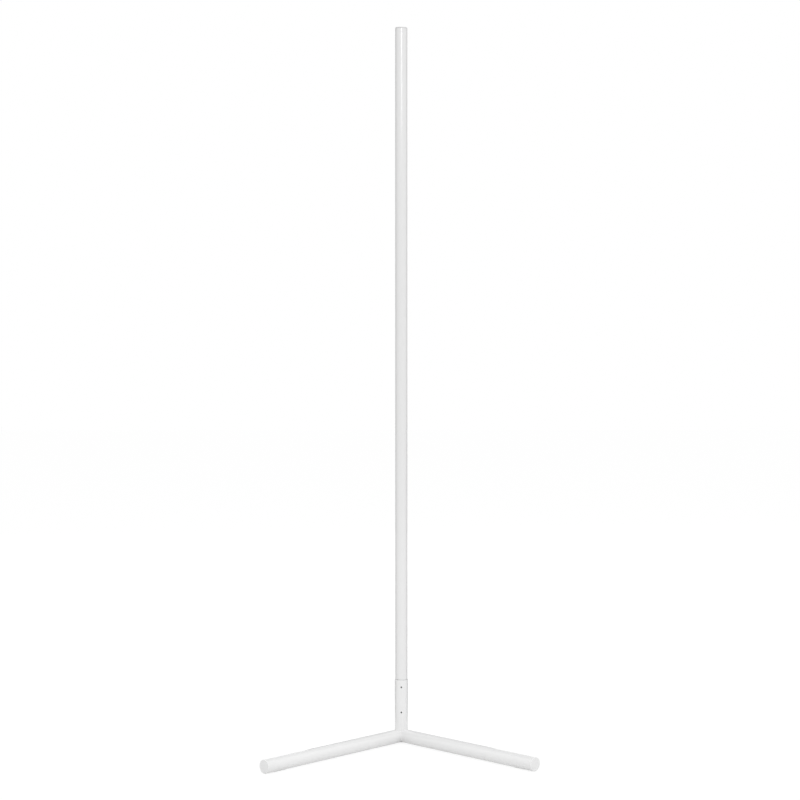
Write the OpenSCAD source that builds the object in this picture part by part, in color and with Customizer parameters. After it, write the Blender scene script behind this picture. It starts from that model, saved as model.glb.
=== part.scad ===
// Corner floor lamp: a round light tube stands in a short socket that is welded
// on two legs in a V. The legs reach forward into the room (-Y). The light slot
// looks back (+Y) into the corner. The origin is on the floor, on the tube's axis.

/* [Legs] */
// Length of each leg, from where the two legs cross to the end face
leg_length = 380; // [250:5:450]
// Angle between the two legs
leg_angle = 90; // [70:1:110]
// Outside diameter of the leg tubes
leg_d = 28; // [25:0.5:34]
// Wall of the leg tubes
leg_wall = 1.2; // [1:0.1:2.5]
// Thickness of the flange that closes a leg's end
leg_cap_flange = 2.5; // [1.5:0.5:5]
// Depth of the plug behind that flange
leg_plug_depth = 14; // [8:1:25]
// Wall of that plug
leg_plug_wall = 2; // [1.5:0.1:3]
// Thickness of the glide pads under the base
glide_t = 0.3; // [0.2:0.1:1]
// Width of the glide strip under each leg
glide_w = 5; // [4:0.5:7]
// Length of that glide strip
glide_l = 30; // [15:1:50]
// Distance from a leg's end face to its glide strip
glide_inset = 25; // [20:1:60]
// Diameter of the round glide under the heel
heel_glide_d = 9; // [7:0.5:11]

/* [Socket] */
// Outside diameter of the socket
socket_d = 28; // [27:0.5:32]
// Bore of the socket
socket_bore = 20; // [18:0.5:22]
// Height of the socket's top above the floor
socket_height = 135; // [110:1:180]
// Chamfer round the socket's top edge
socket_chamfer = 0.8; // [0.4:0.1:1]
// Distance from the socket's top down to the upper set screw
screw_drop = 15; // [10:1:25]
// Distance from the shank's lower end up to the lower set screw
screw_rise = 16; // [8:1:20]
// Thread diameter of the set screws
screw_d = 3; // [2.5:0.5:4]
// How far the set screws reach past the bore, into the shank's grooves
screw_bite = 1.2; // [0.6:0.1:2]
// How far a set screw's outer end lies below the socket's surface
screw_sink = 0.2; // [0:0.1:0.5]
// Hexagon key size of the set screws
screw_key = 1.5; // [1:0.1:1.5]
// Depth of that hexagon
screw_key_depth = 1.6; // [1:0.1:2]

/* [Cord exit] */
// Diameter of the supply cord that the lamp takes
cord_d = 5; // [4:0.1:5.5]
// Height of the cord exit above the legs
cord_exit_rise = 10.7; // [9:0.1:14]
// Height of the room that the spigot's shank leaves above the cord exit
cord_room = 11; // [6:0.5:14]
// Diameter of the hole in the socket that holds the grommet
grommet_hole_d = 8; // [7.5:0.5:9]
// Width of the grommet's lips beyond that hole
grommet_lip = 1.6; // [1:0.1:2]
// Thickness of the grommet's lips
grommet_lip_t = 1.4; // [1:0.1:2]

/* [Light tube] */
// Length of the light tube
light_l = 1383; // [900:1:1700]
// Outside diameter of the light tube
light_d = 25.4; // [24:0.1:26]
// Wall of the light tube
light_wall = 1.3; // [1:0.1:1.6]
// Part of the circle that the diffuser takes
slot_angle = 100; // [84:1:104]
// Distance from the tube's axis back to the web that carries the light strip
web_y = 1.6; // [1.2:0.1:2]
// Thickness of the web
web_t = 1.4; // [1:0.1:1.8]
// Wall of the diffuser
diffuser_wall = 1.4; // [1:0.1:2]
// Thickness of the diffuser's snap feet
foot_t = 1.2; // [0.8:0.1:1.4]
// Reach of the hooks on those feet
hook_reach = 0.5; // [0.3:0.1:0.6]
// Height of those hooks
hook_h = 0.6; // [0.4:0.1:0.8]
// Thickness of the top cap above the tube
top_cap_flange = 2; // [1.5:0.5:5]
// Depth of the top cap's plug
top_plug_depth = 12; // [6:1:20]

/* [Spigot] */
// Length of the spigot's upper part, gripped in the light tube
grip_l = 16; // [14:1:24]
// Thickness of the tongue that carries the wiring
tongue_t = 2; // [1.6:0.1:2.4]
// Width of the tongue
tongue_w = 17; // [16:0.5:19]
// Width of the grooves that the set screws run in
groove_w = 4.4; // [4.2:0.1:6]
// Distance between the two screws that hold the light tube to the spigot
grip_screw_pitch = 11; // [9:0.1:11.4]
// Diameter of those screws
grip_screw_d = 3; // [2.5:0.1:3]

/* [Wiring] */
// Depth of the clamp along the cord
clamp_l = 7; // [5:0.5:10]
// Width of the clamp
clamp_w = 15; // [14.6:0.1:16]
// Diameter of the clamp's screws
clamp_screw_d = 2; // [1.6:0.1:2.2]
// Width of the terminal block
block_w = 11; // [10:0.5:12]
// Height of the terminal block above the tongue
block_h = 8; // [7.5:0.1:8.5]
// Length of the terminal block along the tube
block_l = 11; // [9:0.5:16]
// Distance between the block's two ways
block_pitch = 5.6; // [5:0.1:6]
// Diameter of the terminal screws
terminal_screw_d = 2.6; // [2:0.1:3]
// Diameter of the two leads
lead_d = 1.4; // [1:0.1:1.8]
// Radius of the bends in the leads
lead_bend = 2.5; // [2:0.1:3]

/* [Light strip] */
// Width of the light strip
strip_w = 10; // [8:0.5:12]
// Thickness of the light strip
strip_t = 0.4; // [0.3:0.1:0.8]
// Light emitters in each metre of strip
leds_per_metre = 60; // [30:30:90]
// Side of an emitter
led_w = 5; // [3:0.5:5]
// Height of an emitter
led_h = 1.6; // [0.8:0.1:1.8]
// Least distance from the strip's end to the top cap's plug
strip_top_gap = 8; // [4:1:40]

/* [Hidden] */
$fn = 96;
fine = 360;       // facets of a large round where a thin pad meets it

run_gap = 0.05;   // radial clearance of a shaft in its hole
seat_gap = 0.2;   // between the light tube's end and the socket's top
slip = 0.1;       // round what slides into the light tube
eps = 0.01;       // lets a cut run past a face
reach = 2000;     // longer than the lamp, for half spaces

leg_r = leg_d / 2;
leg_ri = leg_r - leg_wall;
leg_z = glide_t + leg_r;
leg_half = leg_angle / 2;
leg_heel = leg_r / tan(leg_half);
leg_top = leg_z + leg_r;
cap_edge_r = 0.8; // of a cap's outer edge
cap_seam_r = 0.3; // of a cap's edge next to its tube

socket_r = socket_d / 2;
bore_r = socket_bore / 2;
screw_r = screw_d / 2;
screw_out_r = socket_r - screw_sink;
screw_tip_r = bore_r - screw_bite;
screw_chamfer = 0.3;
groove_gap = 0.15;

grommet_r = grommet_hole_d / 2;
grommet_lip_r = grommet_r + grommet_lip;
cord_gap = 0.1;
cord_exit_z = leg_top + cord_exit_rise;
cord_bore_r = cord_d / 2 + cord_gap;

light_r = light_d / 2;
light_ri = light_r - light_wall;
light_z = socket_height + seat_gap;
light_top = light_z + light_l;
slot_half = light_r * sin(slot_angle / 2);
web_rear = web_y + web_t;
hook_x = slot_half - slip + hook_reach;
hook_top = sqrt(pow(light_ri, 2) - pow(hook_x, 2)) - slip;
foot_x = slot_half - slip - foot_t;

shank_r = bore_r - run_gap;
shank_bottom = cord_exit_z + cord_room;
shank_l = light_z - shank_bottom;
upper_screw_z = socket_height - screw_drop;
lower_screw_z = shank_bottom + screw_rise;
groove_r = screw_tip_r - groove_gap;
tongue_rear = web_y - slip;
tongue_front = tongue_rear - tongue_t;
cord_y = tongue_front - cord_d / 2;
grip_top = light_z + grip_l;
grip_screw_z = light_z + grip_l / 2;
grip_screw_l = 8;
grip_head_r = 2.4;
grip_head_h = 1.5;
grip_hole_r = grip_screw_d / 2 + run_gap;

part_gap = 2;     // along the tube, between one wiring part and the next
clamp_z = grip_top + part_gap;
clamp_strap = 0.8;
clamp_h = cord_d + clamp_strap;
clamp_screw_x = (clamp_w / 2 + cord_d / 2) / 2;
clamp_head_r = 1.9;
clamp_head_h = 1.2;
clamp_hole_r = clamp_screw_d / 2 + run_gap;
rib_t = 1.1;
rib_h = 1.5;
block_z = clamp_z + clamp_l + part_gap + rib_t;
wire_rise = 3.4;  // from the tongue to the block's wire holes
block_y = tongue_front - wire_rise;
wire_gap = 0.3;   // round a lead in the block
wire_hole_r = lead_d / 2 + wire_gap;
terminal_sink = 0.3;
terminal_screw_l = block_h - wire_rise - wire_hole_r - terminal_sink;
tongue_top = block_z + block_l + slip + rib_t;

lead_r = lead_d / 2;
lead_rear = web_rear + strip_t + lead_r;
lead_z = tongue_top + part_gap;
window_gap = 1;   // round the leads in the web's window
window_r = 1;
window_w = block_pitch + lead_d + 2 * window_gap;
window_bottom = lead_z - lead_r - window_gap;
window_top = lead_z + lead_bend;
strip_rise = 1.5; // from the window up to the strip
pad_rise = 1.5;   // from the strip's end up to its pads
strip_z = window_top + strip_rise;
pad_z = strip_z + pad_rise;
solder_rim = 0.6; // solder round a lead
solder_r = lead_r + solder_rim;
led_pitch = 1000 / leds_per_metre;
leds_per_cut = 3;
cut_l = leds_per_cut * led_pitch;
strip_room = light_top - top_plug_depth - strip_top_gap - strip_z;
cuts = floor(strip_room / cut_l);
strip_l = cuts * cut_l;
lens_depth = 0.2;
lens_rim = 0.6;
resistor_w = 1.25;
resistor_h = 0.5;
resistor_l = 2;

// ---------------------------------------------------------------- helpers

// Rise of a leg's round underside at the edge of a pad of width w.
function edge_rise(w) = leg_r - sqrt(pow(leg_r, 2) - pow(w / 2, 2));

// Turns +Z to run along the right leg, from where the legs cross.
module along_leg() {
    translate([0, 0, leg_z]) rotate([90, 0, leg_half]) children();
}

// Everything to the right of the mitre plane.
module right_half() {
    translate([0, -reach, -reach]) cube([reach, 2 * reach, 2 * reach]);
}

// One leg as a solid bar of radius r, mitred where it meets the other.
module leg_bar(r, length) {
    intersection() {
        along_leg() translate([0, 0, -leg_heel]) cylinder(r = r, h = leg_heel + length);
        right_half();
    }
}

module both_leg_bars() {
    leg_bar(leg_r, leg_length);
    mirror([1, 0, 0]) leg_bar(leg_r, leg_length);
}

// Turns +Z to point forward (-Y) at height z.
module facing_front(z) {
    translate([0, 0, z]) rotate([90, 0, 0]) children();
}

// Turns +Z to point back (+Y) at height z.
module facing_rear(z) {
    translate([0, 0, z]) rotate([-90, 0, 0]) children();
}

// A disc with its far edge rounded by edge, and its near edge by seam.
module rounded_disc(r, h, edge, seam = 0) {
    rotate_extrude() {
        translate([0, seam]) square([r - edge, h - seam]);
        translate([0, seam]) square([r, h - edge - seam]);
        square([r - seam, h - edge]);
        intersection() {
            translate([r - edge, h - edge]) circle(r = edge);
            translate([r - edge, h - edge]) square(edge);
        }
        if (seam > 0) intersection() {
            translate([r - seam, seam]) circle(r = seam);
            translate([r - seam, 0]) square(seam);
        }
    }
}

// Front chamber of the light tube, drawn smaller all round by gap.
module front_chamber(gap) {
    intersection() {
        circle(r = light_ri - gap);
        translate([-light_r, -light_r]) square([light_d, light_r + web_y - gap]);
    }
}

// Rear chamber between the web and the diffuser, drawn smaller by gap.
module rear_chamber(gap) {
    intersection() {
        circle(r = light_r - diffuser_wall - gap);
        translate([-foot_x + gap, web_rear + gap])
            square([2 * (foot_x - gap), light_r]);
    }
}

// A cylinder across the tube, from the front of its span to the back.
module cross_hole(r, x, z, front, rear) {
    translate([x, front, z]) rotate([-90, 0, 0]) cylinder(r = r, h = rear - front);
}

// ------------------------------------------------------------------- base

module leg() {
    color("whitesmoke") difference() {
        leg_bar(leg_r, leg_length - leg_cap_flange);
        along_leg() translate([0, 0, -2 * leg_heel])
            cylinder(r = leg_ri, h = 2 * leg_heel + leg_length);
    }
}

module left_leg() {
    mirror([1, 0, 0]) leg();
}

module right_leg() {
    leg();
}

module leg_cap() {
    color("white") along_leg() translate([0, 0, leg_length - leg_cap_flange]) {
        rounded_disc(leg_r, leg_cap_flange, cap_edge_r, cap_seam_r);
        difference() {
            translate([0, 0, -leg_plug_depth])
                cylinder(r = leg_ri - slip, h = leg_plug_depth + eps);
            translate([0, 0, -leg_plug_depth - eps])
                cylinder(r = leg_ri - slip - leg_plug_wall, h = leg_plug_depth + eps);
        }
    }
}

module left_leg_cap() {
    mirror([1, 0, 0]) leg_cap();
}

module right_leg_cap() {
    leg_cap();
}

// A thin strip under the leg, its top hollowed to the leg's round.
module glide() {
    color("gainsboro") difference() {
        rotate([0, 0, leg_half])
            translate([-glide_w / 2, -(leg_length - glide_inset), 0])
                cube([glide_w, glide_l, leg_r / 2]);
        along_leg() cylinder(r = leg_r, h = leg_length, $fn = fine);
        translate([-reach, -reach, glide_t + edge_rise(glide_w)])
            cube([2 * reach, 2 * reach, leg_r]);
    }
}

module left_glide() {
    mirror([1, 0, 0]) glide();
}

module right_glide() {
    glide();
}

module heel_glide() {
    color("gainsboro") difference() {
        cylinder(d = heel_glide_d, h = glide_t + edge_rise(heel_glide_d));
        both_leg_bars($fn = fine);
    }
}

// A thick tube, coped at its foot to sit on the two legs.
module socket() {
    color("whitesmoke") difference() {
        rotate_extrude() polygon([
            [bore_r, leg_z],
            [socket_r, leg_z],
            [socket_r, socket_height - socket_chamfer],
            [socket_r - socket_chamfer, socket_height],
            [bore_r, socket_height]]);
        both_leg_bars();
        cross_hole(grommet_r, 0, cord_exit_z, 0, 2 * socket_r);
        cross_hole(screw_r + run_gap, 0, upper_screw_z, -2 * socket_r, 0);
        cross_hole(screw_r + run_gap, 0, lower_screw_z, -2 * socket_r, 0);
    }
}

// A rubber ring: an outer lip on the socket's round, a neck in the hole, and an
// inner lip against the bore.
module cord_grommet() {
    color("white") difference() {
        union() {
            difference() {
                facing_rear(cord_exit_z)
                    cylinder(r = grommet_lip_r, h = socket_r + grommet_lip_t);
                cylinder(r = socket_r, h = socket_height);
            }
            facing_rear(cord_exit_z) translate([0, 0, bore_r - grommet_lip_t])
                cylinder(r = grommet_r, h = socket_r + grommet_lip_t - bore_r);
            intersection() {
                facing_rear(cord_exit_z) translate([0, 0, bore_r - 2 * grommet_lip_t])
                    cylinder(r = grommet_lip_r, h = 2 * grommet_lip_t);
                cylinder(r = bore_r, h = socket_height);
            }
        }
        facing_rear(cord_exit_z) cylinder(r = cord_bore_r, h = 2 * socket_r);
    }
}

module set_screw(z) {
    color("dimgray") facing_front(z) difference() {
        rotate_extrude() polygon([
            [0, screw_tip_r],
            [screw_r - screw_chamfer, screw_tip_r],
            [screw_r, screw_tip_r + screw_chamfer],
            [screw_r, screw_out_r - screw_chamfer],
            [screw_r - screw_chamfer, screw_out_r],
            [0, screw_out_r]]);
        translate([0, 0, screw_out_r - screw_key_depth])
            cylinder(d = screw_key / cos(30), h = screw_key_depth + eps, $fn = 6);
    }
}

module upper_set_screw() {
    set_screw(upper_screw_z);
}

module lower_set_screw() {
    set_screw(lower_screw_z);
}

// ------------------------------------------------------------- light tube

// A round profile, open at the back, with a web across it for the light strip.
module light_tube() {
    color("whitesmoke") difference() {
        translate([0, 0, light_z]) linear_extrude(light_l) {
            difference() {
                circle(r = light_r);
                circle(r = light_ri);
                translate([-slot_half, 0]) square([2 * slot_half, light_d]);
            }
            intersection() {
                circle(r = light_r - light_wall / 2);
                translate([-light_r, web_y]) square([light_d, web_t]);
            }
        }
        for (side = [-1, 1])
            cross_hole(grip_hole_r, side * grip_screw_pitch / 2, grip_screw_z, 0, light_r);
        wire_window();
    }
}

// Rounded opening in the web, where the leads pass to the back.
module wire_window() {
    inner_w = window_w - 2 * window_r;
    inner_h = window_top - window_bottom - 2 * window_r;
    translate([0, 0, (window_bottom + window_top) / 2]) {
        translate([-window_w / 2, 0, -inner_h / 2]) cube([window_w, light_r, inner_h]);
        translate([-inner_w / 2, 0, -inner_h / 2 - window_r])
            cube([inner_w, light_r, inner_h + 2 * window_r]);
        for (sx = [-1, 1], sz = [-1, 1])
            cross_hole(window_r, sx * inner_w / 2, sz * inner_h / 2, 0, light_r);
    }
}

// Curved cover over the slot, on two feet whose hooks snap behind the slot's edges.
module diffuser() {
    foot_bottom = hook_top - hook_h;
    color("ivory") translate([0, 0, light_z]) linear_extrude(light_l) {
        difference() {
            intersection() {
                circle(r = light_r);
                translate([-slot_half + slip, hook_top]) square([2 * (slot_half - slip), light_r]);
            }
            circle(r = light_r - diffuser_wall);
        }
        for (side = [0, 1]) mirror([side, 0]) {
            intersection() {
                circle(r = light_r);
                translate([foot_x, foot_bottom]) square([foot_t, light_r]);
            }
            translate([foot_x, foot_bottom]) square([foot_t + hook_reach, hook_h]);
        }
    }
}

module top_cap() {
    plug_wall = 1.6;
    rear_plug_depth = top_plug_depth / 2;
    color("white") translate([0, 0, light_top]) {
        rounded_disc(light_r, top_cap_flange, cap_edge_r, cap_seam_r);
        translate([0, 0, -top_plug_depth]) linear_extrude(top_plug_depth + eps) difference() {
            front_chamber(slip);
            front_chamber(slip + plug_wall);
        }
        translate([0, 0, -rear_plug_depth]) linear_extrude(rear_plug_depth + eps)
            rear_chamber(slip);
    }
}

// The cast piece that joins the light tube to the socket: a round shank that turns
// in the socket, a half-round grip in the tube, and a tongue for the wiring.
module spigot() {
    color("silver") difference() {
        union() {
            translate([0, 0, shank_bottom]) cylinder(r = shank_r, h = shank_l);
            translate([0, 0, light_z]) linear_extrude(grip_l) front_chamber(slip);
            translate([-tongue_w / 2, tongue_front, grip_top - eps])
                cube([tongue_w, tongue_t, tongue_top - grip_top + eps]);
            block_rib(block_z - slip - rib_t);
            block_rib(block_z + block_l + slip);
        }
        screw_groove(upper_screw_z);
        screw_groove(lower_screw_z);
        translate([0, cord_y, shank_bottom - eps])
            cylinder(r = cord_bore_r, h = grip_top - shank_bottom + 2 * eps);
        for (side = [-1, 1]) {
            cross_hole(grip_hole_r, side * grip_screw_pitch / 2, grip_screw_z,
                web_rear - grip_screw_l - slip, light_r);
            cross_hole(clamp_hole_r, side * clamp_screw_x, clamp_z + clamp_l / 2,
                tongue_front - eps, tongue_rear + eps);
        }
    }
}

module block_rib(z) {
    translate([-block_w / 2, tongue_front - rib_h, z])
        cube([block_w, rib_h + eps, rib_t]);
}

module screw_groove(z) {
    translate([0, 0, z - groove_w / 2]) difference() {
        cylinder(r = socket_r, h = groove_w);
        translate([0, 0, -eps]) cylinder(r = groove_r, h = groove_w + 2 * eps);
    }
}

// Pan-head screw along -Z, its head's underside at the origin, with a slot.
module pan_screw(r, length, head_r, head_h) {
    slot_w = head_r / 4;
    difference() {
        union() {
            translate([0, 0, -length]) cylinder(r = r, h = length + eps);
            rounded_disc(head_r, head_h, head_h / 2);
        }
        translate([-head_r, -slot_w / 2, head_h / 2]) cube([2 * head_r, slot_w, head_h]);
    }
}

module spigot_screws() {
    color("silver") for (side = [-1, 1])
        translate([side * grip_screw_pitch / 2, web_rear, grip_screw_z]) rotate([-90, 0, 0])
            pan_screw(grip_screw_d / 2, grip_screw_l, grip_head_r, grip_head_h);
}

// ----------------------------------------------------------------- wiring

// A saddle over the cord, open towards the tongue.
module cord_clamp() {
    color("white") difference() {
        translate([-clamp_w / 2, tongue_front - clamp_h, clamp_z])
            cube([clamp_w, clamp_h, clamp_l]);
        translate([0, cord_y, clamp_z - eps]) cylinder(d = cord_d, h = clamp_l + 2 * eps);
        translate([-cord_d / 2, cord_y, clamp_z - eps])
            cube([cord_d, cord_d / 2 + eps, clamp_l + 2 * eps]);
        for (side = [-1, 1])
            cross_hole(clamp_hole_r, side * clamp_screw_x, clamp_z + clamp_l / 2,
                tongue_front - clamp_h - eps, tongue_front + eps);
    }
}

module cord_clamp_screws() {
    color("silver") for (side = [-1, 1])
        translate([side * clamp_screw_x, tongue_front - clamp_h, clamp_z + clamp_l / 2])
            rotate([90, 0, 0])
                pan_screw(clamp_screw_d / 2, clamp_h + tongue_t, clamp_head_r, clamp_head_h);
}

module terminal_block() {
    block_front = tongue_front - block_h;
    color("white") difference() {
        translate([-block_w / 2, block_front, block_z]) cube([block_w, block_h, block_l]);
        for (side = [-1, 1]) translate([side * block_pitch / 2, 0, 0]) {
            translate([0, block_y, block_z - eps])
                cylinder(r = wire_hole_r, h = block_l + 2 * eps);
            cross_hole(terminal_screw_d / 2 + run_gap, 0, block_z + block_l / 2,
                block_front - eps, block_y);
        }
    }
}

module terminal_screws() {
    slot_w = 0.5;
    color("silver") for (side = [-1, 1])
        translate([side * block_pitch / 2, tongue_front - block_h + terminal_sink,
            block_z + block_l / 2])
            rotate([-90, 0, 0]) difference() {
                cylinder(d = terminal_screw_d, h = terminal_screw_l);
                translate([-terminal_screw_d, -slot_w / 2, -eps])
                    cube([2 * terminal_screw_d, slot_w, slot_w + eps]);
            }
}

// A wire from its terminal up the tube, back through the web and on to its pad.
module lead(x) {
    start_z = block_z + block_l / 2;
    translate([x, 0, 0]) {
        translate([0, block_y, start_z]) cylinder(r = lead_r, h = lead_z - lead_bend - start_z);
        translate([0, block_y + lead_bend, lead_z - lead_bend]) rotate([0, -90, 0])
            rotate([0, 0, -90]) rotate_extrude(angle = 90)
                translate([lead_bend, 0]) circle(r = lead_r);
        cross_hole(lead_r, 0, lead_z, block_y + lead_bend, lead_rear - lead_bend);
        translate([0, lead_rear - lead_bend, lead_z + lead_bend]) rotate([0, -90, 0])
            rotate([0, 0, 90]) rotate_extrude(angle = 90)
                translate([lead_bend, 0]) circle(r = lead_r);
        translate([0, lead_rear, lead_z + lead_bend])
            cylinder(r = lead_r, h = pad_z - lead_z - lead_bend);
    }
}

module positive_lead() {
    color("firebrick") lead(block_pitch / 2);
}

module negative_lead() {
    color("dimgray") lead(-block_pitch / 2);
}

// ------------------------------------------------------------ light strip

module light_strip() {
    color("white") translate([-strip_w / 2, web_rear, strip_z])
        cube([strip_w, strip_t, strip_l]);
}

module leds() {
    lens_r = led_w / 2 - lens_rim;
    color("lightyellow") for (i = [0 : cuts * leds_per_cut - 1])
        translate([0, web_rear + strip_t, strip_z + (i + 0.5) * led_pitch]) difference() {
            translate([-led_w / 2, 0, -led_w / 2]) cube([led_w, led_h, led_w]);
            cross_hole(lens_r, 0, 0, led_h - lens_depth, led_h + eps);
        }
}

module strip_resistors() {
    color("dimgray") for (i = [0 : cuts - 1])
        translate([-resistor_w / 2, web_rear + strip_t,
            strip_z + i * cut_l + led_pitch - resistor_l / 2])
            cube([resistor_w, resistor_h, resistor_l]);
}

// Solder round the end of each lead, on the strip's first pads.
module solder_joints() {
    color("silver") for (side = [-1, 1]) difference() {
        cross_hole(solder_r, side * block_pitch / 2, pad_z, web_rear + strip_t,
            lead_rear + lead_r / 2);
        lead(side * block_pitch / 2);
    }
}

left_leg();
right_leg();
socket();
left_leg_cap();
right_leg_cap();
left_glide();
right_glide();
heel_glide();
cord_grommet();
upper_set_screw();
lower_set_screw();
light_tube();
diffuser();
top_cap();
spigot();
spigot_screws();
cord_clamp();
cord_clamp_screws();
terminal_block();
terminal_screws();
positive_lead();
negative_lead();
light_strip();
leds();
strip_resistors();
solder_joints();
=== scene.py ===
# %% [markdown]
# # A corner floor lamp
# The lamp is a slim white light tube that stands in a welded base with two legs in
# a V. It is plain on purpose, so its look rests on three things: truly round tubes,
# a satin powder coat, and soft light with a narrow reflection near the top.
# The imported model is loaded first. Everything below sits on its sizes.

# %% Load the frame
import math

import bmesh
import bpy
from mathutils import Matrix, Vector


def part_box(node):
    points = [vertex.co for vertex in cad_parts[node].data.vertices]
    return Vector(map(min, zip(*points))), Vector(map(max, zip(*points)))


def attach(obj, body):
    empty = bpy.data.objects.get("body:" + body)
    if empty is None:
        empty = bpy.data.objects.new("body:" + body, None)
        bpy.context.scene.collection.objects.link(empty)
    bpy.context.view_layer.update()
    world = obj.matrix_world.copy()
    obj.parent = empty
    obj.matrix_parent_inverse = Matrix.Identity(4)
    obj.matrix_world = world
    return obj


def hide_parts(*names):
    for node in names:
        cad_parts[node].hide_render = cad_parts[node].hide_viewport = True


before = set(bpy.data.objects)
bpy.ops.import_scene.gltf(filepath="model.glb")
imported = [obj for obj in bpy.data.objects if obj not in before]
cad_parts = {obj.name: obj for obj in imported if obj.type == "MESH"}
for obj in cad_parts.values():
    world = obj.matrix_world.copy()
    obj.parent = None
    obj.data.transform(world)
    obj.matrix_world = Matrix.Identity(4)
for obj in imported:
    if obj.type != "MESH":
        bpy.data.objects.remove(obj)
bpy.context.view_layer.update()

# %% [markdown]
# Sizes come from the frame where it holds them: a node's box gives a tube's radius
# or a height. The few sizes that no box shows, such as the thickness of a wall, are
# named here in metres, the same as in the solid model.

# %% Sizes
MM = 0.001


def size_of(node):
    low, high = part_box(node)
    return high - low


LEG_HALF_ANGLE = math.radians(45)
leg_r = size_of("left_leg_cap").z / 2
leg_axis_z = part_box("left_leg_cap")[0].z + leg_r
leg_wall = 1.2 * MM
cap_flange = 2.5 * MM
cap_plug_depth = 14 * MM
tube_far_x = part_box("right_leg")[1].x
leg_length = tube_far_x / math.sin(LEG_HALF_ANGLE) - leg_r + cap_flange

socket_r = size_of("socket").x / 2
socket_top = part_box("socket")[1].z
socket_bore_r = 10 * MM
socket_chamfer = 0.8 * MM

tube_r = size_of("top_cap").x / 2
tube_wall = 1.3 * MM
tube_low, tube_high = (corner.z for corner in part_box("light_tube"))
web_front = 1.6 * MM
web_rear = 3 * MM
slot_angle = math.radians(100)
slot_half = tube_r * math.sin(slot_angle / 2)
print("leg length %.1f mm, tube radius %.2f mm" % (leg_length / MM, tube_r / MM))

# %% [markdown]
# ## Camera
# The camera stands about 3.6 m in front of the lamp, at half its height. Its place,
# turn and focal length were found by fitting the outlines of the legs, the tube and
# the socket in the photograph. The photograph is a crop from a wider picture, so its
# optical axis isn't in the middle. A small sideways lens shift does the same here.

# %% Camera
FRAME_PX = 800
FOCAL_PX = 1694.6
AXIS_X_PX = 489.4
CAMERA_PLACE = Vector((34.3, -3611.6, 828.5)) * MM
CAMERA_YAW = math.radians(-2.432)
CAMERA_PITCH = math.radians(-1.530)
CAMERA_ROLL = math.radians(-0.069)

camera = bpy.data.objects.new("camera", bpy.data.cameras.new("camera"))
bpy.context.scene.collection.objects.link(camera)
camera.data.sensor_width = 36
camera.data.lens = camera.data.sensor_width * FOCAL_PX / FRAME_PX
camera.data.shift_x = -(AXIS_X_PX - FRAME_PX / 2) / FRAME_PX
camera.matrix_world = (
    Matrix.Translation(CAMERA_PLACE)
    @ Matrix.Rotation(CAMERA_YAW, 4, "Z")
    @ Matrix.Rotation(CAMERA_PITCH, 4, "X")
    @ Matrix.Rotation(CAMERA_ROLL, 4, "Y")
    @ Matrix.Rotation(math.radians(90), 4, "X"))
bpy.context.scene.camera = camera
bpy.context.scene.view_settings.view_transform = "Standard"
print("lens %.1f mm, shift %.3f" % (camera.data.lens, camera.data.shift_x))


# %% [markdown]
# ## Colour and finish helpers
# Colours are written as sRGB hex values, as a paint chart gives them, and one function
# turns them to the linear values that the shader needs. A second function adds a node
# with its settings and its links. A third makes a whole finish from them. No real
# surface is quite even: its colour wanders a little over patches, and its gloss and
# height vary from grain to grain. Patch and grain are real sizes, so the finish looks
# right from any distance. A finish with a dull grain alone needs no height.

# %% Colours and nodes
def linear(hex_colour):
    channels = [int(hex_colour[i:i + 2], 16) / 255 for i in (1, 3, 5)]
    return [c / 12.92 if c <= 0.04045 else ((c + 0.055) / 1.055) ** 2.4 for c in channels] + [1]


def add_node(tree, kind, settings=None, links=None):
    node = tree.nodes.new(kind)
    for name, value in (settings or {}).items():
        if isinstance(name, int) or name in node.inputs:
            node.inputs[name].default_value = value
        else:
            setattr(node, name, value)
    for name, socket in (links or {}).items():
        tree.links.new(socket, node.inputs[name])
    return node


# %% A whole finish
NOISE_DETAIL = 2.0
NOISE_LOW, NOISE_HIGH = 0.3, 0.7    # nearly all of a noise texture lies between these


def make_finish(name, colours, patch, roughness, grain, height=0, **sockets):
    """Colours and roughness are pairs to move between. The sizes are in metres."""
    material = bpy.data.materials.new(name)
    material.use_nodes = True
    material.diffuse_color = linear(colours[0])
    tree = material.node_tree
    shader = tree.nodes["Principled BSDF"]
    for socket, value in sockets.items():
        shader.inputs[socket.replace("_", " ")].default_value = value
    place = add_node(tree, "ShaderNodeTexCoord").outputs["Object"]
    patches, grains = (
        add_node(tree, "ShaderNodeTexNoise", {"Scale": 1 / size, "Detail": NOISE_DETAIL},
                 {"Vector": place}).outputs["Fac"] for size in (patch, grain))
    tint = add_node(tree, "ShaderNodeMix",
                    {"data_type": "RGBA", 6: linear(colours[0]), 7: linear(colours[1])},
                    {0: patches})
    gloss = add_node(tree, "ShaderNodeMapRange",
                     {"From Min": NOISE_LOW, "From Max": NOISE_HIGH,
                      "To Min": roughness[0], "To Max": roughness[1]}, {"Value": grains})
    tree.links.new(tint.outputs[2], shader.inputs["Base Color"])
    tree.links.new(gloss.outputs["Result"], shader.inputs["Roughness"])
    if height:
        bump = add_node(tree, "ShaderNodeBump", {"Strength": 1.0, "Distance": height},
                        {"Height": grains})
        tree.links.new(bump.outputs["Normal"], shader.inputs["Normal"])
    return material


# %% [markdown]
# ## Paint, plastics and rubber
# The steel base and the aluminium profile carry the same white powder coat. The powder
# melts to a satin skin with a faint orange peel, a ripple about a millimetre wide and
# some microns high. The end caps are moulded in a tool with an etched wall, so they
# are more matt than the paint. The light cover is opal: it is smooth, and light soaks
# into it before it comes back.

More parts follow.
